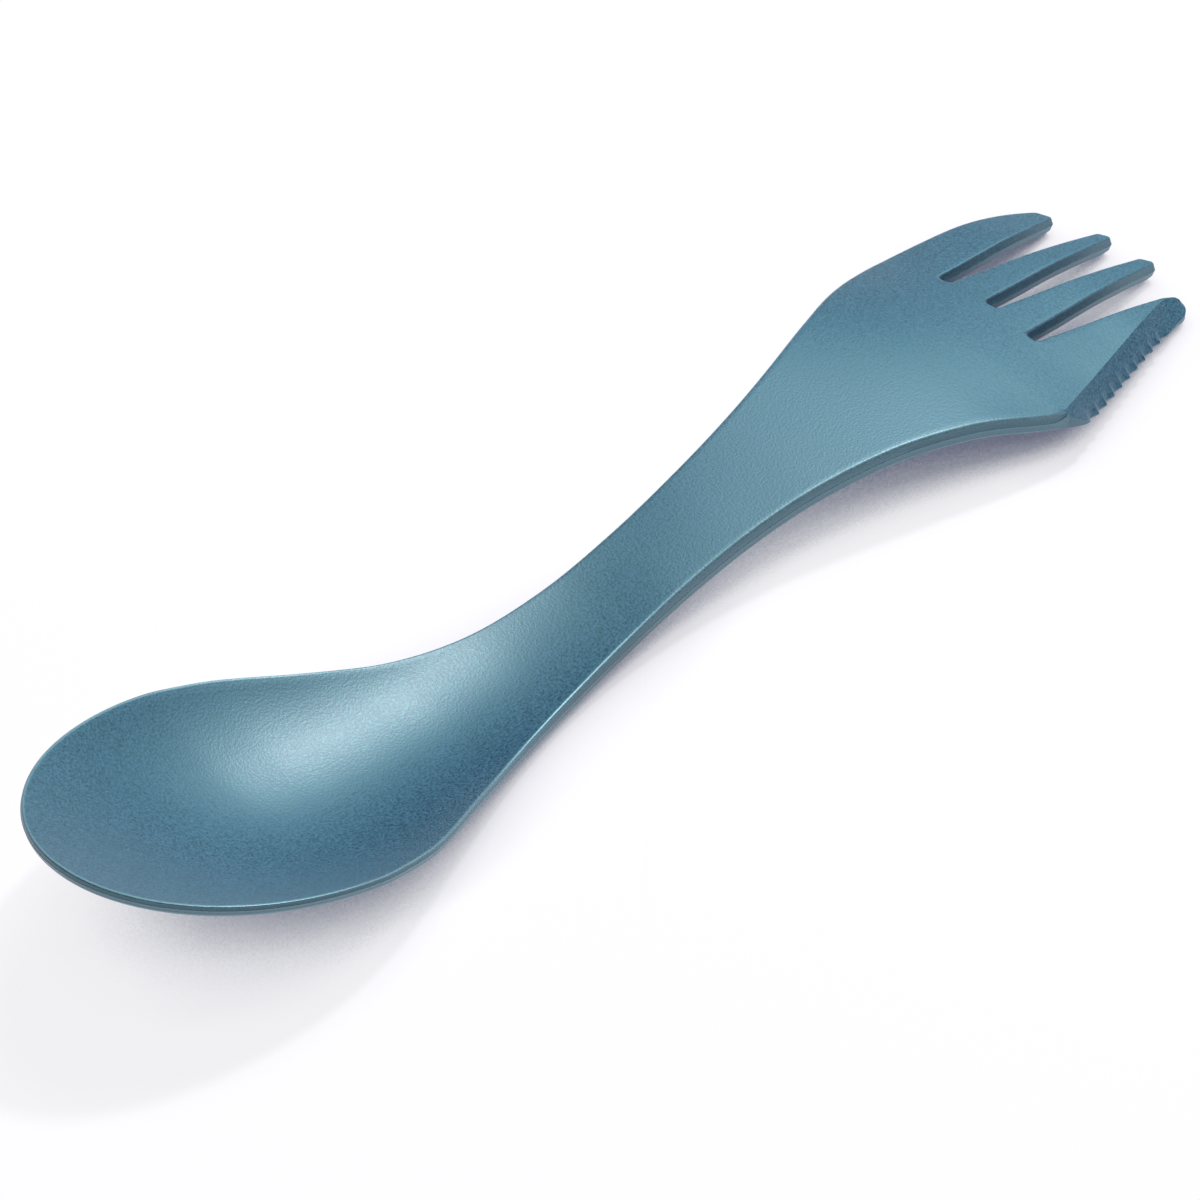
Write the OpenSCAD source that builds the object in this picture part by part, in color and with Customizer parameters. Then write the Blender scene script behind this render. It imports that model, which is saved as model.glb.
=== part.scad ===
// Moulded plastic camping spork: a spoon bowl, a waisted handle and a four-tined fork with a
// serrated edge, all in one S-shaped strip. X runs from the spoon tip to the fork, Y to the
// left and Z up. It lies on Z = 0 and is centred on its length. The real piece is one moulding,
// so its regions are separate solids that meet face to face.

/* [Overall] */
// Length from the spoon tip to the longest tines
length = 170; // [160:1:185]

/* [Spoon] */
// Length from the spoon tip to the neck, where the edge is lowest
spoon_length = 64; // [58:1:70]
// Width of the bowl across its rim
bowl_width = 38; // [32:0.5:44]
// Distance from the spoon tip to the widest line of the bowl
widest_from_tip = 27.5; // [24:0.5:31]
// Depth of the hollow below its rim
bowl_depth = 7.2; // [5:0.2:9]
// Height of the spoon tip above the neck
tip_rise = 17.8; // [14:0.1:20]
// Wall of the bowl
bowl_wall = 1.7; // [1.2:0.1:2.4]

/* [Handle] */
// Width of the handle at its waist
waist_width = 11.6; // [9:0.2:15]
// Distance from the spoon tip to the waist
waist_from_tip = 85; // [80:0.5:90]
// Thickness of the handle and the palm
handle_thickness = 2.6; // [2:0.1:3.4]
// Height of the arch's edge above the neck
arch_rise = 7.4; // [6:0.1:10]

/* [Fork] */
// Width of the fork across its shoulders
fork_width = 36; // [33:0.2:38]
// Distance from the longest tines back to the shoulders
shoulder_from_end = 23.8; // [21:0.2:26]
// Distance from the longest tines back to the top of the arch
arch_from_end = 52.8; // [49:0.2:56]
// Rise of the palm's middle above its edges
crown = 2; // [1:0.1:3]
// Fall of the fork's edge from the arch to the tine ends
tine_drop = 10.75; // [9:0.05:11.5]

/* [Tines] */
// Length of the slots from their roots to the longest tines
tine_length = 25.2; // [24:0.2:28]
// Thickness at the roots of the slots
root_thickness = 2.2; // [1.8:0.1:2.8]
// Thickness at the tine ends
tine_thickness = 1.9; // [1.6:0.1:2.6]
// Distance between the roots of the slots
slot_pitch = 7.4; // [7:0.1:8]
// Width of a slot at its root
slot_root_width = 1.7; // [1:0.1:2]
// Width of the two outer slots at the tine ends
outer_slot_mouth = 5.7; // [5:0.1:6.4]
// Width of the middle slot at the tine ends
middle_slot_mouth = 4.8; // [4:0.1:5.4]
// How far the roots of the slots lie to the left of the middle
slot_offset = 1.45; // [0.8:0.05:1.6]
// How far the slots lean to the right from their roots to the tine ends
slot_lean = 0.6; // [0:0.1:1]
// How far the outer tine stops short of the longest tines
outer_tine_setback = 2.1; // [1:0.1:3]
// How far the outer tine's edge curves in from the shoulder
outer_tine_sweep = 4.6; // [3.6:0.1:5]
// Length of the tapered tine tips
tip_length = 1.2; // [0.8:0.1:2]
// Width of the blunt end of a tine
tip_width = 1; // [0.6:0.1:1.4]

/* [Serrated edge] */
// Distance from the longest tines back to the heel of the edge
heel_from_end = 33.2; // [31:0.2:35]
// How far the knife tine stops short of the longest tines
knife_setback = 3.7; // [3:0.1:5]
// Length over which the knife tine's rounded tip is all bevel
bevel_tip_length = 2.2; // [1.6:0.2:4]
// Length over which the bevel runs down from the heel to the cutting edge
heel_length = 3.6; // [2.4:0.2:5]
// How far the heel stands out of the palm's outline
heel_flare = 0.3; // [0.2:0.1:0.8]
// Distance of the edge from the slot beside it where the teeth end
edge_end_inset = 3.3; // [2.6:0.1:3.6]
// Number of teeth
tooth_count = 10; // [6:1:14]
// Depth of a tooth
tooth_depth = 0.4; // [0.3:0.1:0.8]
// Thickness of the cutting edge
edge_thickness = 0.5; // [0.3:0.1:0.8]
// Width of the knife tine's top face from there to its tip
knife_flat = 0.5; // [0.3:0.1:0.8]

/* [Hidden] */
plastic_colour = "steelblue";

// Steps along and across each region
front_steps = 14;
bowl_steps = 16;
handle_steps = 16;
palm_steps = 8;
heel_steps = 4;
tine_steps = 8;
tip_steps = 4;
across_steps = 16;
tine_across_steps = 4;

// Places along the length
spoon_tip_x = -length / 2;
fork_tip_x = length / 2;
widest_x = spoon_tip_x + widest_from_tip;
neck_x = spoon_tip_x + spoon_length;
waist_x = spoon_tip_x + waist_from_tip;
arch_x = fork_tip_x - arch_from_end;
heel_x = fork_tip_x - heel_from_end;
edge_start_x = heel_x + heel_length;
root_x = fork_tip_x - tine_length;
shoulder_x = fork_tip_x - shoulder_from_end;
outer_tip_x = fork_tip_x - outer_tine_setback;
knife_tip_x = fork_tip_x - knife_setback;
bevel_end_x = knife_tip_x - bevel_tip_length;

bowl_half = bowl_width / 2;
waist_half = waist_width / 2;
fork_half = fork_width / 2;

// Share of the bowl's width that the spoon tip is cut square
tip_flat_share = 0.09;
// Outline from the bowl's widest line to the waist, as shares of that run and of the narrowing,
// after a first point that mirrors the third, so that the curve starts straight
bowl_side_shares = [[-0.08, 0.96], [0, 1], [0.08, 0.96], [0.15, 0.895], [0.22, 0.785], [0.3, 0.635],
                    [0.38, 0.495], [0.45, 0.375], [0.54, 0.248], [0.62, 0.158], [0.8, 0.038], [1, 0]];
// Outline from the waist to the shoulders, as shares of that run and of the widening
fork_side_shares = [[0, 0], [0.16, 0.035], [0.32, 0.133], [0.48, 0.31], [0.64, 0.574],
                    [0.8, 0.868], [0.9, 0.968], [1, 1]];
// Edge height from the spoon tip to the neck, as shares of the spoon and of the tip's rise
spoon_edge_shares = [[0, 1], [0.35, 0.598], [0.7, 0.187], [0.86, 0.04]];
// Edge height from the neck to the arch, as shares of that run and of the arch's rise
handle_edge_shares = [[0, 0], [0.2, 0.14], [0.4, 0.424], [0.6, 0.709], [0.8, 0.917]];
// Fall of the edge from the arch to the tine ends, as shares of that run and of the fall
fork_edge_shares = [[0, 0], [0.17, 0.084], [0.33, 0.306], [0.49, 0.485], [0.63, 0.572],
                    [0.77, 0.698], [0.88, 0.837], [1, 1]];
// Depth of the hollow from the spoon tip to the waist, as shares of that run and of the depth
hollow_shares = [[0, 0], [0.06, 0.25], [0.13, 0.54], [0.2, 0.81], [0.27, 0.97], [0.33, 1],
                 [0.41, 0.895], [0.48, 0.73], [0.55, 0.555], [0.62, 0.395], [0.7, 0.235],
                 [0.78, 0.145], [0.86, 0.085], [0.93, 0.04], [1, 0]];
// Rise of the fork's middle between the waist and the arch, as shares of that run and the crown
waist_crown_shares = [[0.6, 0.01]];
// Rise of the fork's middle from the arch to the tine ends, as shares of that run and the crown
fork_crown_shares = [[0, 0.05], [0.17, 0.2], [0.33, 0.6], [0.49, 0.95], [0.63, 1],
                     [0.77, 0.98], [0.88, 0.95], [1, 0.92]];
// Share of the spoon that keeps the bowl's wall before it thickens into the handle
thin_share = 0.6;
// How sharply the outer tine's edge curves in towards its tip
sweep_power = 3.4;
// Share of a tine tip's narrowing that is on its right side
tip_right_share = 0.25;

// Points [x, value] of a run that starts at x and value and spans the given sizes
function run(shares, x, span, value, size) =
    [for (share = shares) [x + share[0] * span, value + share[1] * size]];

width_points = concat(
    run(bowl_side_shares, widest_x, waist_x - widest_x, waist_half, bowl_half - waist_half),
    [for (point = run(fork_side_shares, waist_x, shoulder_x - waist_x, waist_half,
                      fork_half - waist_half)) if (point[0] > waist_x) point]);
edge_points = concat(
    run(spoon_edge_shares, spoon_tip_x, spoon_length, 0, tip_rise),
    run(handle_edge_shares, neck_x, arch_x - neck_x, 0, arch_rise),
    run(fork_edge_shares, arch_x, arch_from_end, arch_rise, -tine_drop));
bulge_points = concat(
    run(hollow_shares, spoon_tip_x, waist_from_tip, 0, -bowl_depth),
    run(waist_crown_shares, waist_x, arch_x - waist_x, 0, crown),
    run(fork_crown_shares, arch_x, arch_from_end, 0, crown));
thickness_points = [
    [spoon_tip_x, bowl_wall],
    [spoon_tip_x + thin_share * spoon_length, bowl_wall],
    [waist_x, handle_thickness],
    [arch_x, handle_thickness],
    [root_x, root_thickness],
    [fork_tip_x, tine_thickness]];

// Slope of a curve at one of its points, from the runs on both sides of it
function rise(points, i) = (points[i + 1][1] - points[i][1]) / (points[i + 1][0] - points[i][0]);
function tangent(points, i) =
    i == 0 ? rise(points, 0) :
    i == len(points) - 1 ? rise(points, i - 1) :
    let (before = points[i][0] - points[i - 1][0], after = points[i + 1][0] - points[i][0])
    (rise(points, i - 1) * after + rise(points, i) * before) / (before + after);

// Smooth curve through points, held at its end values beyond them
function last_before(points, x) = max([for (i = [0:len(points) - 2]) if (i == 0 || points[i][0] <= x) i]);
function hermite(points, i, t) =
    let (span = points[i + 1][0] - points[i][0])
    points[i][1] * (1 - t) * (1 - t) * (1 + 2 * t)
    + points[i + 1][1] * t * t * (3 - 2 * t)
    + span * tangent(points, i) * t * (1 - t) * (1 - t)
    - span * tangent(points, i + 1) * t * t * (1 - t);
function along(points, x) =
    let (i = last_before(points, x), span = points[i + 1][0] - points[i][0])
    hermite(points, i, max(0, min(1, (x - points[i][0]) / span)));

// Half the width of the strip: a quarter ellipse at the spoon tip, then the outline's curve
function half_width(x) =
    x < widest_x
        ? let (share = (widest_x - x) / widest_from_tip)
          bowl_half * sqrt(1 - (1 - tip_flat_share * tip_flat_share) * share * share)
        : along(width_points, x);

// Height of the top face over the neck, hollowed or crowned as a parabola across the width
function top_height(x, y) =
    let (across = y / half_width(x))
    along(edge_points, x) + along(bulge_points, x) * (1 - across * across);
function underside(x, y) = top_height(x, y) - along(thickness_points, x);

// Walls of the slots, numbered -1, 0 and 1 from right to left
function slot_mouth(slot) = slot == 0 ? middle_slot_mouth : outer_slot_mouth;
function tine_share(x) = (x - root_x) / tine_length;
function slot_half(slot, x) = (slot_root_width + (slot_mouth(slot) - slot_root_width) * tine_share(x)) / 2;
function slot_middle(slot, x) = slot * slot_pitch + slot_offset - slot_lean * tine_share(x);
function slot_left(slot, x) = slot_middle(slot, x) + slot_half(slot, x);
function slot_right(slot, x) = slot_middle(slot, x) - slot_half(slot, x);

// Outer tine's edge, which leaves the shoulder along a power curve
function outer_edge(x) =
    let (share = (x - root_x) / (outer_tip_x - root_x))
    half_width(root_x) - outer_tine_sweep * pow(share, sweep_power);

// Bevel's upper line, straight from the heel and then beside the slot, and the edge below it
function between(x, x0, y0, x1, y1) = y0 + (y1 - y0) * (x - x0) / (x1 - x0);
function bevel_line(x) =
    x < bevel_end_x
        ? between(x, heel_x, -half_width(heel_x), bevel_end_x, slot_right(-1, bevel_end_x) - knife_flat)
        : slot_right(-1, x) - knife_flat;
function heel_line(x) = -half_width(x) - heel_flare;
function edge_line(x) =
    between(x, edge_start_x, heel_line(edge_start_x),
            bevel_end_x, slot_right(-1, bevel_end_x) - edge_end_inset);

// Evenly spaced places from a to b
function spread(a, b, steps) = [for (i = [0:steps]) a + (b - a) * i / steps];
function after_first(places) = [for (i = [1:len(places) - 1]) places[i]];

front_places = [for (i = [0:front_steps]) widest_x - widest_from_tip * cos(90 * i / front_steps)];
bowl_places = concat(front_places, after_first(spread(widest_x, neck_x, bowl_steps)));
handle_places = spread(neck_x, arch_x, handle_steps);
palm_places = concat(spread(arch_x, heel_x, palm_steps), after_first(spread(heel_x, root_x, heel_steps)));
function tine_places(tip_x, tip_start_x) =
    concat(spread(root_x, tip_start_x, tine_steps), after_first(spread(tip_start_x, tip_x, tip_steps)));

// Lowest point of the underside, which rests on the table
outer_tip_narrowing = outer_edge(outer_tip_x) - slot_left(1, outer_tip_x) - tip_width;
outer_tip_y = outer_edge(outer_tip_x) - outer_tip_narrowing * (1 - tip_right_share);
rest_z = min(concat(
    [for (x = concat(bowl_places, handle_places)) underside(x, 0)],
    [underside(outer_tip_x, outer_tip_y), underside(knife_tip_x, slot_right(-1, knife_tip_x))]));
function upper(x, y) = [x, y, top_height(x, y) - rest_z];
function lower(x, y) = [x, y, underside(x, y) - rest_z];

// One cross-section of the strip between two Y values: its upper and lower rows of points
function section(x, right, left, steps) =
    let (places = spread(right, left, steps))
    [[for (y = places) upper(x, y)], [for (y = places) lower(x, y)]];

// Closed solid through cross-sections that have equal numbers of points
module strip(sections) {
    row = len(sections[0][0]);
    rows = len(sections);
    last = rows - 1;
    side = row - 1;
    top = [for (i = [0:last]) [for (j = [0:side]) i * row + j]];
    base = [for (i = [0:last]) [for (j = [0:side]) (rows + i) * row + j]];
    skins = [for (i = [0:last - 1], j = [0:side - 1]) each [
        [top[i][j], top[i][j + 1], top[i + 1][j + 1]],
        [top[i][j], top[i + 1][j + 1], top[i + 1][j]],
        [base[i][j], base[i + 1][j + 1], base[i][j + 1]],
        [base[i][j], base[i + 1][j], base[i + 1][j + 1]]]];
    sides = [for (i = [0:last - 1]) each [
        [base[i][0], top[i][0], top[i + 1][0]],
        [base[i][0], top[i + 1][0], base[i + 1][0]],
        [base[i][side], top[i + 1][side], top[i][side]],
        [base[i][side], base[i + 1][side], top[i + 1][side]]]];
    ends = [for (j = [0:side - 1]) each [
        [top[0][j + 1], top[0][j], base[0][j]],
        [top[0][j + 1], base[0][j], base[0][j + 1]],
        [top[last][j], top[last][j + 1], base[last][j + 1]],
        [top[last][j], base[last][j + 1], base[last][j]]]];
    polyhedron(
        points = concat([for (part = sections) each part[0]], [for (part = sections) each part[1]]),
        faces = concat(skins, sides, ends));
}

// Tine through places [x, right wall, left wall], drawn in to a blunt tip over its last stretch
module tine(walls) {
    tip = walls[len(walls) - 1];
    tip_narrowing = tip[2] - tip[1] - tip_width;
    strip([for (wall = walls)
        let (share = max(0, 1 - (tip[0] - wall[0]) / tip_length),
             narrowing = tip_narrowing * share * share)
        section(wall[0], wall[1] + narrowing * tip_right_share,
                wall[2] - narrowing * (1 - tip_right_share), tine_across_steps)]);
}

module spoon_bowl() {
    color(plastic_colour)
        strip([for (x = bowl_places) section(x, -half_width(x), half_width(x), across_steps)]);
}

module handle() {
    color(plastic_colour)
        strip([for (x = handle_places) section(x, -half_width(x), half_width(x), across_steps)]);
}

module fork_palm() {
    color(plastic_colour)
        strip([for (x = palm_places)
            section(x, x <= heel_x ? -half_width(x) : bevel_line(x), half_width(x), across_steps)]);
}

module outer_tine() {
    color(plastic_colour)
        tine([for (x = tine_places(outer_tip_x, outer_tip_x - tip_length))
            [x, slot_left(1, x), outer_edge(x)]]);
}

module left_inner_tine() {
    color(plastic_colour)
        tine([for (x = tine_places(fork_tip_x, fork_tip_x - tip_length))
            [x, slot_left(0, x), slot_right(1, x)]]);
}

module right_inner_tine() {
    color(plastic_colour)
        tine([for (x = tine_places(fork_tip_x, fork_tip_x - tip_length))
            [x, slot_left(-1, x), slot_right(0, x)]]);
}

module knife_tine() {
    color(plastic_colour)
        strip([for (x = tine_places(knife_tip_x, bevel_end_x))
            section(x, bevel_line(x), slot_right(-1, x), tine_across_steps)]);
}

// Bevelled strip from the heel to the knife tine's rounded tip, with teeth along its edge
module serrated_edge() {
    tooth_pitch = (bevel_end_x - edge_start_x) / tooth_count;
    heel = [for (i = [0:heel_steps - 1])
        let (x = between(i, 0, heel_x, heel_steps, edge_start_x), wall = along(thickness_points, x))
        [x, bevel_line(x), heel_line(x), between(i, 0, wall, heel_steps, edge_thickness)]];
    teeth = [for (i = [0:tooth_count * 2])
        let (x = edge_start_x + i * tooth_pitch / 2)
        [x, bevel_line(x), edge_line(x) + (i % 2) * tooth_depth, edge_thickness]];
    tip = [for (i = [1:tip_steps])
        let (x = between(i, 0, bevel_end_x, tip_steps, knife_tip_x), end_inset = knife_flat + edge_thickness,
             inset = end_inset + (edge_end_inset - end_inset) * sqrt(1 - pow(i / tip_steps, 2)))
        [x, bevel_line(x), slot_right(-1, x) - inset, edge_thickness]];
    color(plastic_colour)
        strip([for (place = concat(heel, teeth, tip))
            let (x = place[0], inner = place[1], foot = lower(x, place[2]))
            [[foot + [0, 0, place[3]], upper(x, inner)], [foot, lower(x, inner)]]]);
}

spoon_bowl();
handle();
fork_palm();
outer_tine();
left_inner_tine();
right_inner_tine();
knife_tine();
serrated_edge();
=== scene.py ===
import math

import bmesh
import bpy
import numpy as np
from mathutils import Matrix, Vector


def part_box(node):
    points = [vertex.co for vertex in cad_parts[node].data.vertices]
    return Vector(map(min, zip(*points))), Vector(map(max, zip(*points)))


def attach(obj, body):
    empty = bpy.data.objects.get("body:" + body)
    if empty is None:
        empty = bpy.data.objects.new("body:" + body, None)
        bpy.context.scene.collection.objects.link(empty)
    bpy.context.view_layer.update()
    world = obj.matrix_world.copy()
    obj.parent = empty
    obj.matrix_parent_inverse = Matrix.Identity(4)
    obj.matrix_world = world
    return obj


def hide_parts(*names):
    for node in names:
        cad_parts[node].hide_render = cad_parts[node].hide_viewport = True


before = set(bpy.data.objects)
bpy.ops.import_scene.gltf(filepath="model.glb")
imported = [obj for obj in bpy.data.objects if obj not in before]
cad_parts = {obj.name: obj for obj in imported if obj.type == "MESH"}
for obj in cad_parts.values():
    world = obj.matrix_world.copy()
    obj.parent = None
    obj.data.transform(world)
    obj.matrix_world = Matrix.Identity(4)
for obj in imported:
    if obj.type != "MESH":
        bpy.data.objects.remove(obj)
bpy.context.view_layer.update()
scene = bpy.context.scene
scene.view_settings.view_transform = "Standard"
millimetre = 0.001
print("frame loaded:", len(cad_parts), "solids")


# sRGB hex to linear colour: a straight line near black, then a power of 2.4
def linearColour(hexValue):
    srgb = np.array([int(hexValue[i:i + 2], 16) for i in (1, 3, 5)]) / 255
    linear = np.where(srgb <= 0.04045, srgb / 12.92, ((srgb + 0.055) / 1.055) ** 2.4)
    return (*linear, 1.0)


# adds one node, sets its plain values and makes its links
def addNode(tree, kind, settings=None, links=None):
    node = tree.nodes.new(kind)
    for name, value in (settings or {}).items():
        if hasattr(node, str(name)):
            setattr(node, name, value)
        else:
            node.inputs[name].default_value = value
    for name, source in (links or {}).items():
        tree.links.new(source, node.inputs[name])
    return node


# The moulding is one S-shaped strip of plastic. Sizes are millimetres, and a shares table holds
# pairs: the share of a run along the length, and the share of the size that changes over it.
# rightExtra holds places along the length and how much wider the right side is there.
strip = {
    "spoonTip": -85.0, "widest": -57.5, "neck": -21.0, "waist": 0.0, "arch": 32.2,
    "heel": 51.8, "slotRoot": 59.8, "shoulder": 61.2, "forkTip": 85.0, "thinEnd": -46.6,
    "bowlHalf": 19.0, "waistHalf": 6.0, "forkHalf": 18.0, "tipFlatShare": 0.09,
    "tipRise": 17.8, "archRise": 7.4, "tineDrop": 10.75, "bowlDepth": 7.2, "crown": 2.0,
    "bowlWall": 1.7, "handleThickness": 2.6, "rootThickness": 2.45, "tineThickness": 2.35,
    "bowlSideShares": [(-0.08, 0.96), (0, 1), (0.08, 0.96), (0.15, 0.895), (0.22, 0.785), (0.3, 0.635),
                       (0.38, 0.495), (0.45, 0.375), (0.54, 0.248), (0.62, 0.158), (0.8, 0.038), (1, 0)],
    "forkSideShares": [(0.16, 0.035), (0.32, 0.133), (0.48, 0.31), (0.64, 0.574), (0.8, 0.868),
                       (0.9, 0.968), (1, 1)],
    "spoonEdgeShares": [(0, 1), (0.35, 0.598), (0.7, 0.187), (0.86, 0.04)],
    "handleEdgeShares": [(0, 0), (0.2, 0.14), (0.4, 0.424), (0.6, 0.709), (0.8, 0.917)],
    "forkEdgeShares": [(0, 0), (0.17, 0.08), (0.33, 0.285), (0.49, 0.48), (0.63, 0.59),
                       (0.77, 0.69), (0.88, 0.805), (1, 0.957)],
    "hollowShares": [(0, 0), (0.06, 0.25), (0.13, 0.54), (0.2, 0.81), (0.27, 0.97), (0.33, 1),
                     (0.41, 0.895), (0.48, 0.73), (0.55, 0.555), (0.62, 0.395), (0.7, 0.235),
                     (0.78, 0.145), (0.86, 0.085), (0.93, 0.04), (1, 0)],
    "waistCrownShares": [(0.6, 0.01)],
    "forkCrownShares": [(0, 0.06), (0.17, 0.35), (0.33, 0.95), (0.49, 1.2), (0.63, 1.1),
                        (0.77, 1), (0.88, 0.95), (1, 0.92)],
    "rightExtra": [(-45, 0), (-30, 0.1), (-10, 0.3), (15, 0.42), (30, 0.55), (38, 0.4), (46, 0.24),
                   (53, 0.5), (64, 0)],
}


# points of a run: its start plus shares of its span, and its first value plus shares of a size
def runPoints(shares, start, end, value, size):
    return [(start + along * (end - start), value + share * size) for along, share in shares]


# smooth curve through points: a cubic between neighbours, whose slope at a point is the mean of
# the slopes on both sides, each weighted by the other side's span, and which is held at its ends
def smoothCurve(points):
    px, pv = np.array(points, float).T
    span = np.diff(px)
    rise = np.diff(pv) / span
    middle = (rise[:-1] * span[1:] + rise[1:] * span[:-1]) / (span[1:] + span[:-1])
    slope = np.concatenate([rise[:1], middle, rise[-1:]])

    def value(x):
        i = np.clip(np.searchsorted(px, x, side="right") - 1, 0, len(span) - 1)
        t = np.clip((x - px[i]) / span[i], 0, 1)
        return (pv[i] * (1 - t) ** 2 * (1 + 2 * t) + pv[i + 1] * t ** 2 * (3 - 2 * t)
                + span[i] * (slope[i] * t * (1 - t) ** 2 - slope[i + 1] * t ** 2 * (1 - t)))

    return value


sideCurve = smoothCurve(
    runPoints(strip["bowlSideShares"], strip["widest"], strip["waist"],
              strip["waistHalf"], strip["bowlHalf"] - strip["waistHalf"])
    + runPoints(strip["forkSideShares"], strip["waist"], strip["shoulder"],
                strip["waistHalf"], strip["forkHalf"] - strip["waistHalf"]))
edgeCurve = smoothCurve(
    runPoints(strip["spoonEdgeShares"], strip["spoonTip"], strip["neck"], 0, strip["tipRise"])
    + runPoints(strip["handleEdgeShares"], strip["neck"], strip["arch"], 0, strip["archRise"])
    + runPoints(strip["forkEdgeShares"], strip["arch"], strip["forkTip"],
                strip["archRise"], -strip["tineDrop"]))
bulgeCurve = smoothCurve(
    runPoints(strip["hollowShares"], strip["spoonTip"], strip["waist"], 0, -strip["bowlDepth"])
    + runPoints(strip["waistCrownShares"], strip["waist"], strip["arch"], 0, strip["crown"])
    + runPoints(strip["forkCrownShares"], strip["arch"], strip["forkTip"], 0, strip["crown"]))
thicknessCurve = smoothCurve([
    (strip["spoonTip"], strip["bowlWall"]), (strip["thinEnd"], strip["bowlWall"]),
    (strip["waist"], strip["handleThickness"]), (strip["arch"], strip["handleThickness"]),
    (strip["slotRoot"], strip["rootThickness"]), (strip["forkTip"], strip["tineThickness"])])
extraCurve = smoothCurve(strip["rightExtra"])
# the spoon tip is the solids' highest point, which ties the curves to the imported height
restHeight = strip["tipRise"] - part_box("spoon_bowl")[1].z / millimetre


# half the width: a quarter ellipse at the spoon tip, then the side curve
def halfWidth(x):
    share = np.clip((strip["widest"] - x) / (strip["widest"] - strip["spoonTip"]), 0, 1)
    front = strip["bowlHalf"] * np.sqrt(1 - (1 - strip["tipFlatShare"] ** 2) * share ** 2)
    return np.where(x < strip["widest"], front, sideCurve(x))


# half the width on the right: half the width plus a little along the handle and at the heel
def rightHalf(x):
    return halfWidth(x) + extraCurve(x)


# Tines, slots and the serrated edge, in millimetres
fork = {
    "slotPitch": 7.4, "slotRootWidth": 1.5, "outerSlotMouth": 5.7, "middleSlotMouth": 4.8,
    "slotOffset": 1.45, "slotLean": 0.6, "rootDepth": 0.6, "rootPower": 0.6,
    "rootDeeper": {-1: 1.1, 0: 0.0, 1: 0.0},
    "outerTip": 82.9, "outerSweep": 4.6, "sweepPower": 3.4, "nose": 0.7, "cutRound": 0.3,
    "innerCuts": (1.0, 0.75), "outerCut": 0.45, "tipRun": 2.4, "tipLift": 0.5,
    "knifeTip": 81.9, "knifeTipY": -10.1, "knifeRound": 1.2, "knifePower": 0.75,
    "knifeThinning": 0.45, "tipBevel": 0.9, "bevelEnd": 79.1, "bevelFlat": 0.1,
    "heelLength": 3.6, "heelFlare": 0.3, "heelBlend": 1.4, "heelRound": 0.45,
    "edgeEndInset": 3.3, "edgeThickness": 0.5, "tipThickness": 1.45,
    "toothCount": 10, "toothDepth": 0.34, "toothLean": 0.6, "teethEnd": 76.0, "grooveShare": 0.55,
}
# Edge of the moulding: corners rounded more on the body than on the fork, and walls that lean out to
# the fine ridge of the parting line. A polish is the share of smoother plastic, which also carries a
# pale painted highlight
rim = {
    "inset": 0.54, "bodyRadius": 0.46, "radius": 0.34, "ridge": 0.03, "ridgeHalf": 0.05,
    "ridgeFoot": 0.1, "bodyPolishAndHighlight": 0.7, "forkPolishAndHighlight": 0.2, "ridgePolishAndHighlight": (0.2, 0.6, 0.6, 0.2),
    "lowerPolishAndHighlight": 0.8,
}
# Steps of the grids along, across and round a corner. The bend of the rows before the slots, the step
# that a slope is taken over and the weld are millimetres, and edges past the angle stay crisp
steps = {
    "front": 44, "bowl": 56, "handle": 46, "palm": 24, "heel": 12, "tooth": 10, "bevelEnd": 8,
    "knifeTip": 16, "tine": 30, "tipBend": 4, "tipCut": 3, "tipNose": 6, "arc": 12, "across": 8,
    "corner": 5, "bend": 9.0, "slopeStep": 0.1, "weld": 0.002, "sharpAngle": 26.0,
}
faceInset = rim["inset"]


# points in plan from their places along and across
def plan(x, y):
    return np.stack(np.broadcast_arrays(x, y), axis=-1)


# straight line through two points
def between(x, x0, y0, x1, y1):
    return y0 + (y1 - y0) * (x - x0) / (x1 - x0)


# walls of a slot: its middle leans to the right, and its width grows in a straight line to its mouth
def slotWall(slot, x, side):
    mouth = fork["middleSlotMouth"] if slot == 0 else fork["outerSlotMouth"]
    share = (x - strip["slotRoot"]) / (strip["forkTip"] - strip["slotRoot"])
    half = (fork["slotRootWidth"] + (mouth - fork["slotRootWidth"]) * share) / 2
    return slot * fork["slotPitch"] + fork["slotOffset"] - fork["slotLean"] * share + side * half


# where a slot's straight walls begin, past its rounded root
def slotCentre(slot):
    return strip["slotRoot"] - fork["rootDeeper"][slot] + fork["rootDepth"]


# outer tine's left edge leaves the shoulder along a power curve
def outerEdge(x):
    share = np.clip((x - strip["slotRoot"]) / (fork["outerTip"] - strip["slotRoot"]), 0, 1)
    return halfWidth(np.minimum(x, strip["slotRoot"])) - fork["outerSweep"] * share ** fork["sweepPower"]


# top face: the edge's height plus a parabola across the width, hollow in the bowl and crowned in
# the fork, less the knife tine's thinning, which grows with the square of the way to its tip
def topFace(x, y):
    share = np.clip((x - fork["bevelEnd"]) / (fork["knifeTip"] - fork["bevelEnd"]), 0, 1)
    thinning = np.where(y < slotWall(-1, x, 0), fork["knifeThinning"] * share ** 2, 0)
    return edgeCurve(x) + bulgeCurve(x) * (1 - (y / halfWidth(x)) ** 2) - restHeight - thinning


# underside: the same face lowered by the thickness, and lifted under the tips of the three plain tines
# by the square of the way along the tip
def underFace(x, y):
    tip = np.where(y > slotWall(1, x, 0), fork["outerTip"], strip["forkTip"])
    share = np.where(y > slotWall(-1, x, 0), np.clip((x - tip) / fork["tipRun"] + 1, 0, 1), 0)
    return (edgeCurve(x) + bulgeCurve(x) * (1 - (y / halfWidth(x)) ** 2) - restHeight - thicknessCurve(x)
            + fork["tipLift"] * share ** 2)


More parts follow.
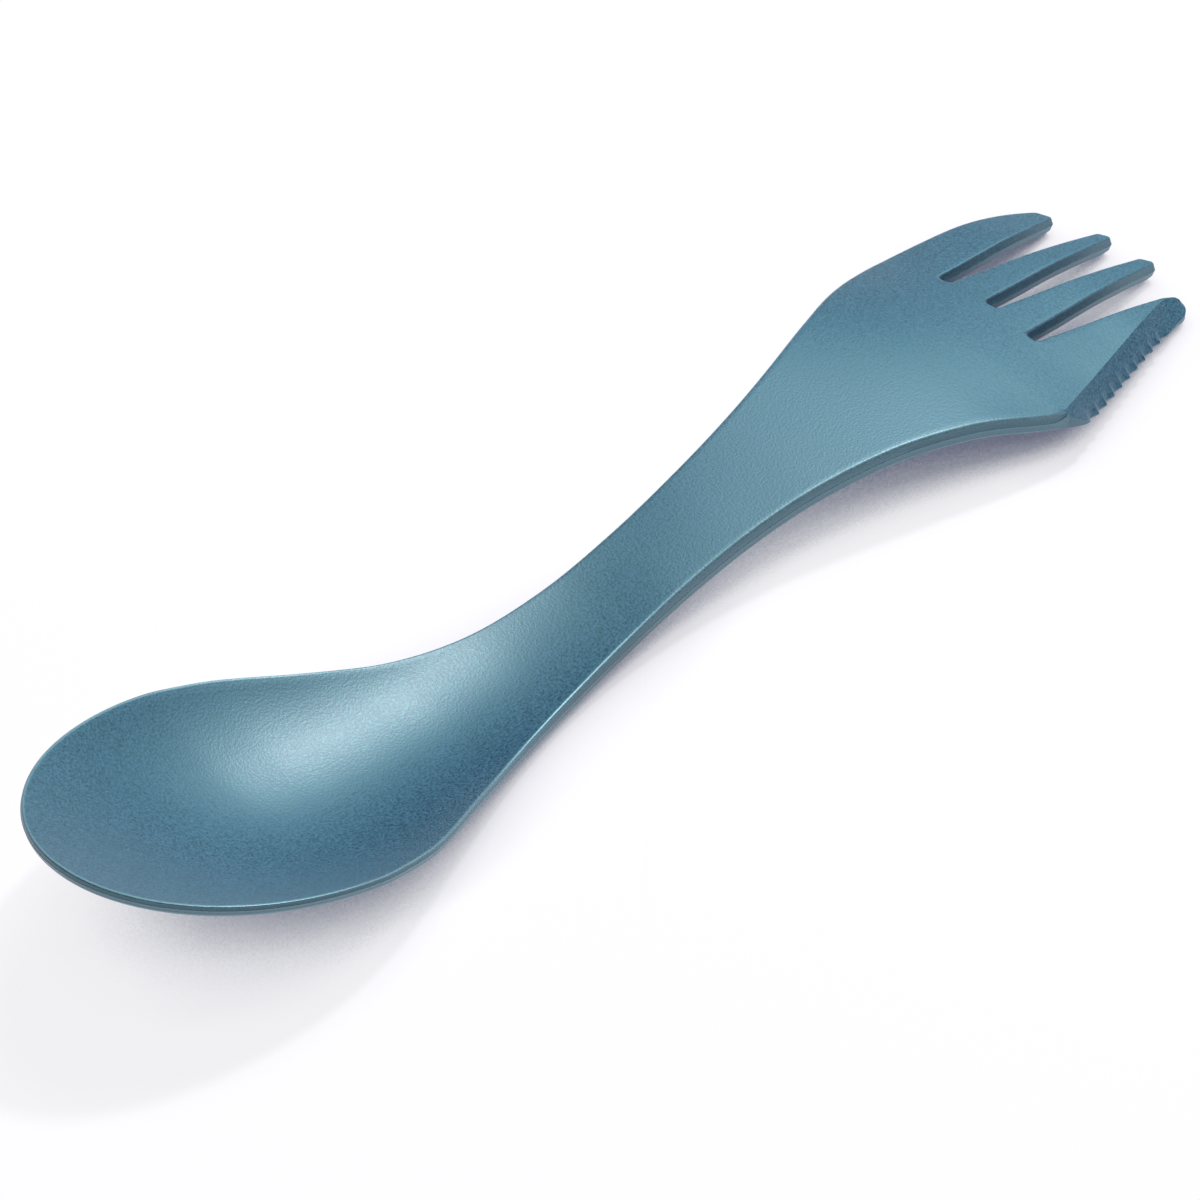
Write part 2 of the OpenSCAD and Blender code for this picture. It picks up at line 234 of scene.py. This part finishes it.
frontTurn = np.linspace(0, math.pi / 2, steps["front"] + 1)
knifeTurn = np.linspace(0, math.pi / 2, steps["knifeTip"] + 1)[1:]
sidePlaces = np.concatenate([
    np.linspace(strip["widest"], strip["neck"], steps["bowl"] + 1)[1:],
    np.linspace(strip["neck"], strip["arch"], steps["handle"] + 1)[1:],
    np.linspace(strip["arch"], strip["heel"], steps["palm"] + 1)[1:]])
edgeStart = strip["heel"] + fork["heelLength"]
edgePlaces = np.concatenate([
    np.linspace(strip["heel"], edgeStart, steps["heel"] + 1)[1:-1],
    np.linspace(edgeStart, fork["teethEnd"], fork["toothCount"] * steps["tooth"] + 1),
    np.linspace(fork["teethEnd"], fork["bevelEnd"], steps["bevelEnd"] + 1)[1:]])
rootStep = int(np.searchsorted(edgePlaces, slotCentre(-1)))  # first edge place beside the slots
bevelEndWall = slotWall(-1, fork["bevelEnd"], -1)
heelHalf = float(rightHalf(np.array(strip["heel"])))


# a side of the body from the spoon tip to the heel, set in by inset: an ellipse round the bowl's
# front, then the width curve
def bodySide(sign, inset):
    front = plan(strip["widest"] - (strip["widest"] - strip["spoonTip"] - inset) * np.cos(frontTurn),
                 sign * (strip["bowlHalf"] - inset) * np.sin(frontTurn))
    half = halfWidth(sidePlaces) if sign > 0 else rightHalf(sidePlaces)
    return np.concatenate([front, plan(sidePlaces, sign * (half - inset))])


# palm's left edge from past the heel to the outer tine
def palmSide(inset):
    x = np.linspace(strip["heel"], slotCentre(1), rootStep + 2)[1:]
    return plan(x, outerEdge(x) - inset)


# cutting edge: the smaller of the palm's flared width and a straight line, with the corner between
# them rounded, then a quarter ellipse round the knife tip
def cuttingEdge(inset):
    endY = bevelEndWall - fork["edgeEndInset"]
    startY = -float(rightHalf(np.array(edgeStart))) - fork["heelFlare"]
    line = -between(edgePlaces, edgeStart, startY, fork["bevelEnd"], endY)
    flare = fork["heelFlare"] * np.clip((edgePlaces - strip["heel"]) / fork["heelLength"], 0, 1)
    palm = rightHalf(edgePlaces) + flare
    straight = (line + palm - np.hypot(line - palm, fork["heelRound"])) / 2
    reach = fork["knifeTip"] - fork["tipBevel"] * inset - fork["bevelEnd"]
    tip = plan(fork["bevelEnd"] + reach * np.sin(knifeTurn),
               fork["knifeTipY"] + (endY + inset - fork["knifeTipY"]) * np.cos(knifeTurn))
    return np.concatenate([plan(edgePlaces, inset - straight), tip])


# teeth: arches of a sine cut in from the edge, with a point between each two, which leans towards the
# tip because the way along each arch is raised to a power below one
def toothGrooves():
    tooth = fork["toothCount"] * np.clip(between(edgePlaces, edgeStart, 0, fork["teethEnd"], 1), 0, 1)
    arch = np.sin(math.pi * (tooth % 1) ** fork["toothLean"])
    return np.concatenate([fork["toothDepth"] * arch, 0 * knifeTurn])


# knife tine's slot side from the root to the tip, a straight wall and then a quarter ellipse made
# fuller by a power of its sine and cosine
def knifeSide(inset):
    x = np.linspace(slotCentre(-1), fork["knifeTip"] - fork["knifeRound"], len(edgePlaces) - rootStep)
    wall = plan(x, slotWall(-1, x, -1) - inset)
    ahead = np.sin(knifeTurn) ** fork["knifePower"]
    aside = np.cos(knifeTurn) ** fork["knifePower"]
    tip = plan(x[-1] + (fork["knifeRound"] - fork["tipBevel"] * inset) * ahead,
               fork["knifeTipY"] + (wall[-1, 1] - fork["knifeTipY"]) * aside)
    return np.concatenate([wall, tip])


# bevel's upper line: straight from the heel's rounded edge, then a quarter ellipse to the tip
def bevelLine():
    endY = bevelEndWall - faceInset - fork["bevelFlat"]
    reach = fork["knifeTip"] - fork["tipBevel"] * faceInset - fork["bevelEnd"]
    straight = between(edgePlaces, strip["heel"], faceInset - heelHalf, fork["bevelEnd"], endY)
    tip = plan(fork["bevelEnd"] + reach * np.sin(knifeTurn),
               fork["knifeTipY"] + (endY - fork["knifeTipY"]) * np.cos(knifeTurn))
    return np.concatenate([plan(edgePlaces, straight), tip])


# end of a slot from its right wall to its left wall, a half ellipse squared by a power of its cosine
# and sine
def slotArc(slot, inset):
    turn = np.linspace(-math.pi / 2, math.pi / 2, steps["arc"] + 1)
    middle = slotWall(slot, slotCentre(slot), 0)
    reach = slotWall(slot, slotCentre(slot), 1) - middle + inset
    across = np.sign(turn) * np.abs(np.sin(turn)) ** fork["rootPower"]
    back = (fork["rootDepth"] + inset) * np.abs(np.cos(turn)) ** fork["rootPower"]
    return plan(slotCentre(slot) - back, middle + reach * across)


# points of a circle at the given turns
def circle(centre, radius, turns):
    return centre + radius * plan(np.cos(turns), np.sin(turns))


# right and left sides of a tine: the right wall ends in a small round nose, and a straight cut from
# the nose, tangent to it, meets the left wall in a rounded corner (a parabola)
def tineSides(rightWall, leftWall, rightStart, leftStart, tip, cut, inset):
    nose = np.array([tip - fork["nose"], rightWall(tip - fork["nose"]) + fork["nose"]])
    bend = np.array([tip - cut, float(leftWall(tip - cut))])
    facing = math.atan2(*(bend - nose)[::-1]) - math.acos(fork["nose"] / math.hypot(*(bend - nose)))
    lean = (bend[1] - float(leftWall(bend[0] - steps["slopeStep"]))) / steps["slopeStep"]
    back = inset * (1 - math.sin(facing)) / (math.cos(facing) + lean * math.sin(facing))
    corner = bend - np.array([back, inset + lean * back])
    touch = circle(nose, fork["nose"] - inset, np.array(facing))
    before = corner - fork["cutRound"] * np.array([1, lean])
    after = corner + fork["cutRound"] * (touch - corner) / np.linalg.norm(touch - corner)
    t = np.linspace(0, 1, steps["tipBend"] + 1)[:, None]
    rightX = np.linspace(rightStart, nose[0], steps["tine"] + 1)
    leftX = np.linspace(leftStart, before[0], steps["tine"] + 1)[:-1]
    tipSteps = steps["tipBend"] + steps["tipCut"] + steps["tipNose"]
    right = [plan(rightX, rightWall(rightX) + inset),
             circle(nose, fork["nose"] - inset, np.linspace(-math.pi / 2, 0, tipSteps + 1)[1:])]
    left = [plan(leftX, leftWall(leftX) - inset),
            (1 - t) ** 2 * before + 2 * t * (1 - t) * corner + t ** 2 * after,
            after + (touch - after) * np.linspace(0, 1, steps["tipCut"] + 1)[1:, None],
            circle(nose, fork["nose"] - inset, np.linspace(facing, 0, steps["tipNose"] + 1)[1:])]
    return np.concatenate(right), np.concatenate(left)


# plain tines from right to left: both walls, where each wall starts, the tip and the cut
tines = [
    (lambda x: slotWall(-1, x, 1), lambda x: slotWall(0, x, -1),
     slotCentre(-1), slotCentre(0), strip["forkTip"], fork["innerCuts"][0]),
    (lambda x: slotWall(0, x, 1), lambda x: slotWall(1, x, -1),
     slotCentre(0), slotCentre(1), strip["forkTip"], fork["innerCuts"][1]),
    (lambda x: slotWall(1, x, 1), outerEdge,
     slotCentre(1), slotCentre(1), fork["outerTip"], fork["outerCut"]),
]
cornerTurn = np.linspace(0, math.pi / 2, steps["corner"] + 1)
# lines of the parting ridge: how far each is set in, and its height from the middle of the wall
ridgeLines = ((rim["ridge"], rim["ridgeFoot"]), (0, rim["ridgeHalf"]),
              (0, -rim["ridgeHalf"]), (rim["ridge"], -rim["ridgeFoot"]))


# plain wall along a side: the top corner's quarter round, the parting ridge at half the height
# and the bottom corner's quarter round, each level a side set in by its own inset
def plainWall(side, radius=rim["radius"]):
    levels = []
    for turn in cornerTurn:
        p = side(faceInset - radius * math.sin(turn))
        levels.append((p, topFace(*p.T) - radius * (1 - math.cos(turn))))
    for inset, offset in ridgeLines:
        p = side(inset)
        levels.append((p, (topFace(*p.T) + underFace(*p.T)) / 2 + offset))
    for turn in cornerTurn:
        p = side(faceInset - radius * math.cos(turn))
        levels.append((p, underFace(*p.T) + radius * (1 - math.sin(turn))))
    return np.stack([np.column_stack(level) for level in levels])


# bevelled wall: a straight slope from its upper line to the top of the edge, a wall of the given
# height below that, rounded under, and grooves that deepen in a straight line down the slope. It has
# as many levels as a plain wall
def bevelWall(upperLine, edge, base, height, groove=0):
    top = np.column_stack([upperLine, topFace(*upperLine.T)])
    foot = np.column_stack([edge, underFace(*edge.T) + height])
    slope = np.linspace(0, 1, len(cornerTurn) + len(ridgeLines))[:, None, None]
    turn = np.linspace(0, math.pi / 2, len(cornerTurn) + 1)[1:, None, None]
    under = edge + (base - edge) * (1 - np.cos(turn))
    lift = np.minimum(height, rim["radius"]) * (1 - np.sin(turn[..., 0]))
    low = np.concatenate([under, (underFace(under[..., 0], under[..., 1]) + lift)[..., None]], axis=-1)
    wall = np.concatenate([top + (foot - top) * slope, low])
    cutShare = np.clip((slope[..., 0] - fork["grooveShare"]) / (1 - fork["grooveShare"]), 0, 1)
    wall[..., 1] += groove * np.concatenate([cutShare, 0 * turn[..., 0] + 1])
    return wall


# height of the wall under the bevel: all but the rounded corner before the heel, then falling in a
# straight line to the cutting edge, and rising again by a square to the blunt tip
def edgeHeight(x):
    heel = np.clip((edgeStart - x) / fork["heelLength"], 0, 1)
    tip = np.clip(between(x, fork["teethEnd"], 0, fork["knifeTip"], 1), 0, 1)
    return (fork["edgeThickness"] + (thicknessCurve(x) - rim["radius"] - fork["edgeThickness"]) * heel
            + (fork["tipThickness"] - fork["edgeThickness"]) * tip ** 2)


# smooth step from zero to one: three squares less two cubes
def smoothShare(t):
    t = np.clip(t, 0, 1)
    return (t * t * (3 - 2 * t))[None, :, None]


# body's right side turns into the bevel over the last stretch before the heel
rightSide, rightFace = bodySide(-1, 0), bodySide(-1, faceInset)
rightWall = plainWall(lambda inset: bodySide(-1, inset), rim["bodyRadius"])
rightBevel = bevelWall(rightFace, rightSide, rightFace, edgeHeight(rightSide[:, 0]))
heelShare = smoothShare((rightSide[:, 0] - strip["heel"]) / fork["heelBlend"] + 1)
rightWall = rightWall + (rightBevel - rightWall) * heelShare
edgeWall = bevelWall(bevelLine(), cuttingEdge(0), cuttingEdge(faceInset),
                     edgeHeight(cuttingEdge(0)[:, 0]), toothGrooves())
# knife tine's slot side turns into the bevel towards its tip
knifeOuter, knifeFace = knifeSide(0), knifeSide(faceInset)
knifeWall = plainWall(knifeSide)
knifeBevel = bevelWall(knifeFace, knifeOuter, knifeFace, edgeHeight(knifeOuter[:, 0]))
tipShare = smoothShare((knifeOuter[:, 0] - fork["bevelEnd"]) / (fork["knifeTip"] - fork["bevelEnd"]))
knifeWall = knifeWall + (knifeBevel - knifeWall) * tipShare
arcWalls = [plainWall(lambda inset, slot=slot: slotArc(slot, inset)) for slot in (-1, 0, 1)]
tineWalls = [[plainWall(lambda inset, tine=tine, hand=hand: tineSides(*tine, inset)[hand])
              for hand in (0, 1)] for tine in tines]
palmWall = plainWall(palmSide)
leftWall = plainWall(lambda inset: bodySide(1, inset), rim["bodyRadius"])

# the whole edge as one closed band, anticlockwise from the spoon tip: levels by places
forkBand = [knifeWall[:, -2:0:-1]]
for arc, (right, left) in zip(arcWalls, tineWalls):
    forkBand += [arc, right[:, 1:], left[:, -2:0:-1]]
forkBand = np.concatenate(forkBand, axis=1)
backWall = np.concatenate([palmWall[:, ::-1], leftWall[:, :0:-1]], axis=1)
band = np.concatenate([rightWall, edgeWall, forkBand, backWall], axis=1)
placePolishAndHighlight = np.repeat([rim["bodyPolishAndHighlight"], 0, rim["forkPolishAndHighlight"], rim["bodyPolishAndHighlight"]],
                        [wall.shape[1] for wall in (rightWall, edgeWall, forkBand, backWall)])
print("edge band:", band.shape[0], "levels by", band.shape[1], "places")


# face between two sides: straight rows with the given shares across, its height from the face's
# formula, and its two borders exactly those of the edge band
def faceGrid(right, left, shares, face, bend=None):
    rows = right[:, None, :2] + (left - right)[:, None, :2] * shares[None, :, None]
    if bend is not None:
        rows = rows + bend
    grid = np.concatenate([rows, face(rows[..., 0], rows[..., 1])[..., None]], axis=-1)
    grid[:, 0], grid[:, -1] = right, left
    return grid


even = np.linspace(0, 1, steps["across"] + 1)


# even steps from one point to another, without the first
def rowBetween(a, b):
    return a + (b - a) * even[1:, None]


grids = [np.concatenate([band, band[:, :1]], axis=1)]
for level, face in ((0, topFace), (-1, underFace)):
    bodyRight = np.concatenate([rightWall[level], edgeWall[level][:rootStep + 1]])
    bodyLeft = np.concatenate([leftWall[level], palmWall[level]])
    # last row of the body: the roots of the four tines and the round slot ends between them
    starts = [knifeWall[level][0]] + [left[level][0] for right, left in tineWalls]
    ends = [arc[level][-1] for arc in arcWalls]
    rootRow = [bodyRight[-1:, :2], rowBetween(bodyRight[-1, :2], starts[0][:2])]
    for arc, end, start in zip(arcWalls, ends, starts[1:]):
        rootRow += [arc[level][1:, :2], rowBetween(end[:2], start[:2])]
    rootRow = np.concatenate(rootRow)
    shares = (rootRow[:, 1] - rootRow[0, 1]) / (rootRow[-1, 1] - rootRow[0, 1])
    sag = rootRow - (rootRow[0] + (rootRow[-1] - rootRow[0]) * shares[:, None])
    ramp = np.clip(1 + (bodyLeft[:, 0] - bodyLeft[-1, 0]) / steps["bend"], 0, 1) ** 2
    grids.append(faceGrid(bodyRight, bodyLeft, shares, face, ramp[:, None, None] * sag))
    grids.append(faceGrid(edgeWall[level][rootStep:], knifeWall[level], even, face))
    grids += [faceGrid(right[level], left[level], even, face) for right, left in tineWalls]

# share of polish and painted highlight on each level of the band: full on the rounded corners, some on
# the parting ridge, less on the fork and none on the bevel
corner = np.sin(2 * cornerTurn)
levelPolishAndHighlight = np.concatenate([corner, rim["ridgePolishAndHighlight"], rim["lowerPolishAndHighlight"] * corner])
polishAndHighlight = [levelPolishAndHighlight[:, None] * np.append(placePolishAndHighlight, placePolishAndHighlight[0])]
polishAndHighlight += [np.zeros(grid.shape[:2]) for grid in grids[1:]]


# quads of a grid of points, numbered row by row from a first number
def gridQuads(first, rows, columns):
    n = first + np.arange(rows * columns).reshape(rows, columns)
    return np.stack([n[:-1, :-1], n[:-1, 1:], n[1:, 1:], n[1:, :-1]], axis=-1).reshape(-1, 4)


counts = np.cumsum([0] + [grid.shape[0] * grid.shape[1] for grid in grids])
points = np.concatenate([grid.reshape(-1, 3) for grid in grids]) * millimetre
quads = np.concatenate([gridQuads(first, *grid.shape[:2]) for first, grid in zip(counts, grids)])
mesh = bpy.data.meshes.new("spork_moulding")
mesh.from_pydata(points.tolist(), [], quads.tolist())
# share of polish on the corners and ridge, which also sets how much pale painted highlight they get
mesh.attributes.new("polishAndHighlight", "FLOAT", "POINT").data.foreach_set(
    "value", np.concatenate([p.ravel() for p in polishAndHighlight]).astype(np.float32))
shell = bmesh.new()
shell.from_mesh(mesh)
bmesh.ops.remove_doubles(shell, verts=shell.verts, dist=steps["weld"] * millimetre)
bmesh.ops.recalc_face_normals(shell, faces=shell.faces)
openEdges = sum(1 for edge in shell.edges if len(edge.link_faces) != 2)
shell.to_mesh(mesh)
shell.free()
mesh.polygons.foreach_set("use_smooth", np.ones(len(mesh.polygons), bool))
mesh.set_sharp_from_angle(angle=math.radians(steps["sharpAngle"]))
spork = bpy.data.objects.new("spork_moulding", mesh)
scene.collection.objects.link(spork)
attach(spork, "root")
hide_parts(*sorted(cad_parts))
print("moulding:", len(mesh.vertices), "points,", len(mesh.polygons), "faces,", openEdges, "open edges")

# Moulded polypropylene from a spark-eroded mould: a fine sandy grain, a little cloudiness in its
# colour, a broad blue sheen under a thin, smoother and whiter skin, and smoother corners where the mould
# was polished, on which a pale highlight is painted. A real grain of about 0.1 mm is too fine to show,
# so it is drawn at 0.3 mm, and both indices of refraction are raised from 1.49 to match the sheen. Sizes
# are millimetres, and a range is the part of a noise that is spread over its whole effect
plastic = {
    "dark": "#08254A", "light": "#4F799F", "cloud": "#33587C", "paintedHighlight": "#A2C4D3", "tint": "#8CF2FD",
    "grain": 0.3, "grainDetail": 2.0, "grainFineness": 0.6, "speckleRange": (0.33, 0.67),
    "grainHeight": 0.05, "grainStrength": 0.55, "cloudSize": 14.0, "cloudDetail": 3.0,
    "cloudRange": (0.35, 0.75), "cloudMost": 0.35, "paintedHighlightMost": 0.7, "ior": 1.8, "sheen": 1.0,
    "roughness": (0.52, 0.76), "roughnessRange": (0.3, 0.7), "polishedRoughness": 0.4,
    "skinWeight": 1.0, "skinIor": 1.58, "skinRoughness": 0.43,
}
material = bpy.data.materials.new("moulded polypropylene, spark-eroded grain")
material.use_nodes = True
tree = material.node_tree
tree.nodes.clear()
place = addNode(tree, "ShaderNodeTexCoord").outputs["Object"]
grain = addNode(tree, "ShaderNodeTexNoise",
                {"Scale": 1 / (plastic["grain"] * millimetre), "Detail": plastic["grainDetail"],
                 "Roughness": plastic["grainFineness"]}, {"Vector": place}).outputs["Fac"]
cloud = addNode(tree, "ShaderNodeTexNoise",
                {"Scale": 1 / (plastic["cloudSize"] * millimetre), "Detail": plastic["cloudDetail"]},
                {"Vector": place}).outputs["Fac"]
polishAndHighlightShare = addNode(tree, "ShaderNodeAttribute", {"attribute_name": "polishAndHighlight"}).outputs["Fac"]
speckle = addNode(tree, "ShaderNodeMapRange",
                  {"From Min": plastic["speckleRange"][0], "From Max": plastic["speckleRange"][1]},
                  {"Value": grain}).outputs["Result"]
grainColour = addNode(tree, "ShaderNodeMix",
                      {"data_type": "RGBA", 6: linearColour(plastic["dark"]),
                       7: linearColour(plastic["light"])}, {0: speckle}).outputs[2]
cloudShare = addNode(tree, "ShaderNodeMapRange",
                     {"From Min": plastic["cloudRange"][0], "From Max": plastic["cloudRange"][1],
                      "To Max": plastic["cloudMost"]}, {"Value": cloud}).outputs["Result"]
cloudColour = addNode(tree, "ShaderNodeMix",
                      {"data_type": "RGBA", 7: linearColour(plastic["cloud"])},
                      {0: cloudShare, 6: grainColour}).outputs[2]
# pale painted highlight on the rounded corners and the parting ridge, by the share of polish there
paintedHighlightShare = addNode(tree, "ShaderNodeMath", {"operation": "MULTIPLY", 1: plastic["paintedHighlightMost"]},
                    {0: polishAndHighlightShare}).outputs[0]
skinColour = addNode(tree, "ShaderNodeMix",
                     {"data_type": "RGBA", 7: linearColour(plastic["paintedHighlight"])},
                     {0: paintedHighlightShare, 6: cloudColour}).outputs[2]
grainRoughness = addNode(tree, "ShaderNodeMapRange",
                         {"From Min": plastic["roughnessRange"][0],
                          "From Max": plastic["roughnessRange"][1],
                          "To Min": plastic["roughness"][0], "To Max": plastic["roughness"][1]},
                         {"Value": grain}).outputs["Result"]
baseRoughness = addNode(tree, "ShaderNodeMix", {3: plastic["polishedRoughness"]},
                        {0: polishAndHighlightShare, 2: grainRoughness}).outputs[0]
bump = addNode(tree, "ShaderNodeBump",
               {"Strength": plastic["grainStrength"], "Distance": plastic["grainHeight"] * millimetre},
               {"Height": grain}).outputs["Normal"]
skin = addNode(tree, "ShaderNodeBsdfPrincipled",
               {"IOR": plastic["ior"], "Specular IOR Level": plastic["sheen"],
                "Specular Tint": linearColour(plastic["tint"]), "Coat Weight": plastic["skinWeight"],
                "Coat IOR": plastic["skinIor"], "Coat Roughness": plastic["skinRoughness"]},
               {"Base Color": skinColour, "Roughness": baseRoughness, "Normal": bump,
                "Coat Normal": bump})
addNode(tree, "ShaderNodeOutputMaterial", None, {"Surface": skin.outputs["BSDF"]})
mesh.materials.append(material)
print("plastic made")

# White table: pale card that keeps the shadow. To the camera and to mirror rays it also glows, and a
# shade is painted on that glow, less light and bluer where the spork hides the sky from it, as a card in
# a light tent looks: a broad painted shade that falls off by a power, and a narrow one close to where
# the spork touches. Sizes are metres
table = {
    "half": 6.0, "card": "#EAE8EE", "seenCard": "#757478", "tent": "#FDFCFF", "shade": "#666A7E",
    "glow": 0.89, "skySamples": 8, "farReach": 0.06, "open": 0.85, "shut": 0.26, "falloff": 6.0,
    "nearReach": 0.007, "nearShade": 0.45,
}
x, y = np.meshgrid([-table["half"], table["half"]], [-table["half"], table["half"]])
floorMesh = bpy.data.meshes.new("table")
floorMesh.from_pydata(np.stack([x, y, 0 * x], axis=-1).reshape(-1, 3).tolist(), [], [(0, 1, 3, 2)])
floor = bpy.data.objects.new("table", floorMesh)
scene.collection.objects.link(floor)


# one for rays from the camera, mirrors and glass, and zero for the rays that light the spork
def seenShare(tree):
    rays = addNode(tree, "ShaderNodeLightPath").outputs
    mirrors = addNode(tree, "ShaderNodeMath", {"operation": "MAXIMUM"},
                      {0: rays["Is Glossy Ray"], 1: rays["Is Transmission Ray"]}).outputs[0]
    return addNode(tree, "ShaderNodeMath", {"operation": "MAXIMUM"},
                   {0: mirrors, 1: rays["Is Camera Ray"]}).outputs[0]


card = bpy.data.materials.new("white card")
card.use_nodes = True
tree = card.node_tree
tree.nodes.clear()
# painted shade on the glow, from how much of the sky the spork hides within a far and a near reach
sky = [addNode(tree, "ShaderNodeAmbientOcclusion",
               {"samples": table["skySamples"], "Distance": reach}).outputs["AO"]
       for reach in (table["farReach"], table["nearReach"])]
hidden = addNode(tree, "ShaderNodeMapRange", {"From Min": table["open"], "From Max": table["shut"]},
                 {"Value": sky[0]}).outputs["Result"]
farShade = addNode(tree, "ShaderNodeMath", {"operation": "POWER", 1: table["falloff"]},
                   {0: hidden}).outputs[0]
nearShade = addNode(tree, "ShaderNodeMapRange",
                    {"From Min": 1.0, "From Max": table["shut"], "To Max": table["nearShade"]},
                    {"Value": sky[1]}).outputs["Result"]
shadeShare = addNode(tree, "ShaderNodeMath", {"operation": "MAXIMUM"},
                     {0: farShade, 1: nearShade}).outputs[0]
tent = addNode(tree, "ShaderNodeMix",
               {"data_type": "RGBA", 6: linearColour(table["tent"]), 7: linearColour(table["shade"])},
               {0: shadeShare}).outputs[2]
glow = addNode(tree, "ShaderNodeEmission", {"Strength": table["glow"]}, {"Color": tent})
seenCard = addNode(tree, "ShaderNodeBsdfDiffuse", {"Color": linearColour(table["seenCard"])})
seen = addNode(tree, "ShaderNodeAddShader", None, {0: glow.outputs[0], 1: seenCard.outputs[0]})
paper = addNode(tree, "ShaderNodeBsdfDiffuse", {"Color": linearColour(table["card"])})
both = addNode(tree, "ShaderNodeMixShader", None,
               {0: seenShare(tree), 1: paper.outputs[0], 2: seen.outputs[0]})
addNode(tree, "ShaderNodeOutputMaterial", None, {"Surface": both.outputs[0]})
floorMesh.materials.append(card)
print("table made")

# Studio: a small key lamp and a wider soft box, both high up beyond the fork, and a faint light from
# pale walls all round. Turns and rises are degrees, distances and sizes metres
studio = {
    "walls": "#EEEDF2", "ambient": 0.02,
    "key": {"turn": 9.0, "rise": 58.0, "distance": 1.0, "size": 0.1, "watts": 5.7},
    "soft box": {"turn": 26.0, "rise": 64.0, "distance": 1.0, "size": 0.35, "watts": 3.2},
}
world = bpy.data.worlds.new("studio walls")
world.use_nodes = True
scene.world = world
tree = world.node_tree
tree.nodes.clear()
walls = addNode(tree, "ShaderNodeBackground",
                {"Color": linearColour(studio["walls"]), "Strength": studio["ambient"]})
addNode(tree, "ShaderNodeOutputWorld", None, {"Surface": walls.outputs[0]})
for name in ("key", "soft box"):
    lamp = bpy.data.lights.new(name, "AREA")
    lamp.shape = "DISK"
    lamp.size = studio[name]["size"]
    lamp.energy = studio[name]["watts"]
    holder = bpy.data.objects.new(name, lamp)
    turn, rise = math.radians(studio[name]["turn"]), math.radians(studio[name]["rise"])
    towards = (math.cos(turn) * math.cos(rise), math.sin(turn) * math.cos(rise), math.sin(rise))
    holder.location = np.array(towards) * studio[name]["distance"]
    holder.rotation_euler = holder.location.to_track_quat("Z", "Y").to_euler()
    scene.collection.objects.link(holder)

# Camera where the photograph was taken from, for a square picture
view = {"place": (-0.265219, -0.259917, 0.354747), "tilt": 46.342, "turn": -44.787, "lens": 136.0,
        "sensor": 36.0}
cameraData = bpy.data.cameras.new("camera")
cameraData.lens = view["lens"]
cameraData.sensor_width = view["sensor"]
camera = bpy.data.objects.new("camera", cameraData)
camera.location = view["place"]
camera.rotation_euler = (math.radians(view["tilt"]), 0, math.radians(view["turn"]))
scene.collection.objects.link(camera)
scene.camera = camera
print("studio and camera made")
